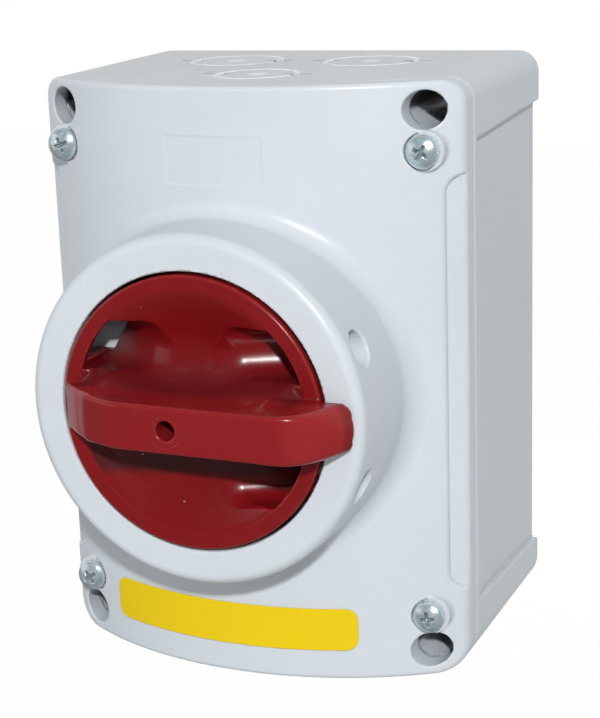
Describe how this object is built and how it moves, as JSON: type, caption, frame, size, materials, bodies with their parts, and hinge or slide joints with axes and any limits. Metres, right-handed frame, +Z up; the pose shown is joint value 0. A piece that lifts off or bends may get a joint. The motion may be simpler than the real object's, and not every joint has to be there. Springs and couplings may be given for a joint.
{
  "type": "enclosed rotary switch disconnector",
  "caption": "Grey wall box with a bowed cover and a red rotary handle in a round padlocking collar, for isolating a machine's supply; works inside.",
  "frame": {"origin": "centre of the back face, where the box meets the wall", "axes": "+X to the right seen from the front, +Y into the wall, +Z up"},
  "size_m": [0.1134, 0.1194, 0.15],
  "materials": {
    "grey_plastic": "satin moulded, light grey",
    "red_plastic": "glossy moulded, deep red",
    "yellow_plastic": "satin yellow plate, blank",
    "black_plastic": "matt moulded",
    "rotor_plastic": "matt moulded, natural",
    "dark_rubber": "soft matt",
    "zinc_steel": "bright zinc plate",
    "spring_steel": "dark bright steel",
    "copper_alloy": "bare copper alloy",
    "brass": "bare brass"
  },
  "bodies": {
    "enclosure": {"base_box": "grey_plastic", "front_cover": "grey_plastic", "label_plate": "yellow_plastic", "switch_foot": "black_plastic", "contact_deck_1": "black_plastic", "contact_deck_2": "black_plastic", "contact_deck_3": "black_plastic", "index_housing": "black_plastic", "index_cover": "black_plastic", "cover_gasket": "dark_rubber", "cover_screw_1": "zinc_steel", "cover_screw_2": "zinc_steel", "cover_screw_3": "zinc_steel", "cover_screw_4": "zinc_steel", "foot_screw_1": "zinc_steel", "foot_screw_2": "zinc_steel", "line_screw_1": "zinc_steel", "line_screw_2": "zinc_steel", "line_screw_3": "zinc_steel", "load_screw_1": "zinc_steel", "load_screw_2": "zinc_steel", "load_screw_3": "zinc_steel", "tie_bolt_1": "zinc_steel", "tie_bolt_2": "zinc_steel", "earth_screw": "zinc_steel", "index_spring_left": "spring_steel", "index_spring_right": "spring_steel", "line_contact_1": "copper_alloy", "line_contact_2": "copper_alloy", "line_contact_3": "copper_alloy", "load_contact_1": "copper_alloy", "load_contact_2": "copper_alloy", "load_contact_3": "copper_alloy", "earth_terminal": "brass"},
    "handle": {"rotary_handle": "red_plastic", "handle_screw": "zinc_steel", "handle_seal": "dark_rubber", "handle_clip": "spring_steel", "drive_shaft": "zinc_steel", "contact_rotor": "rotor_plastic", "moving_contact_1": "copper_alloy", "moving_contact_2": "copper_alloy", "moving_contact_3": "copper_alloy", "index_wheel": "rotor_plastic"}
  },
  "joints": [
    {"name": "handle_turn", "type": "hinge", "parent": "enclosure", "child": "handle", "pos_m": [0, -0.1, 0], "axis": [0, 1, 0], "range_deg": [0, 90]}
  ]
}
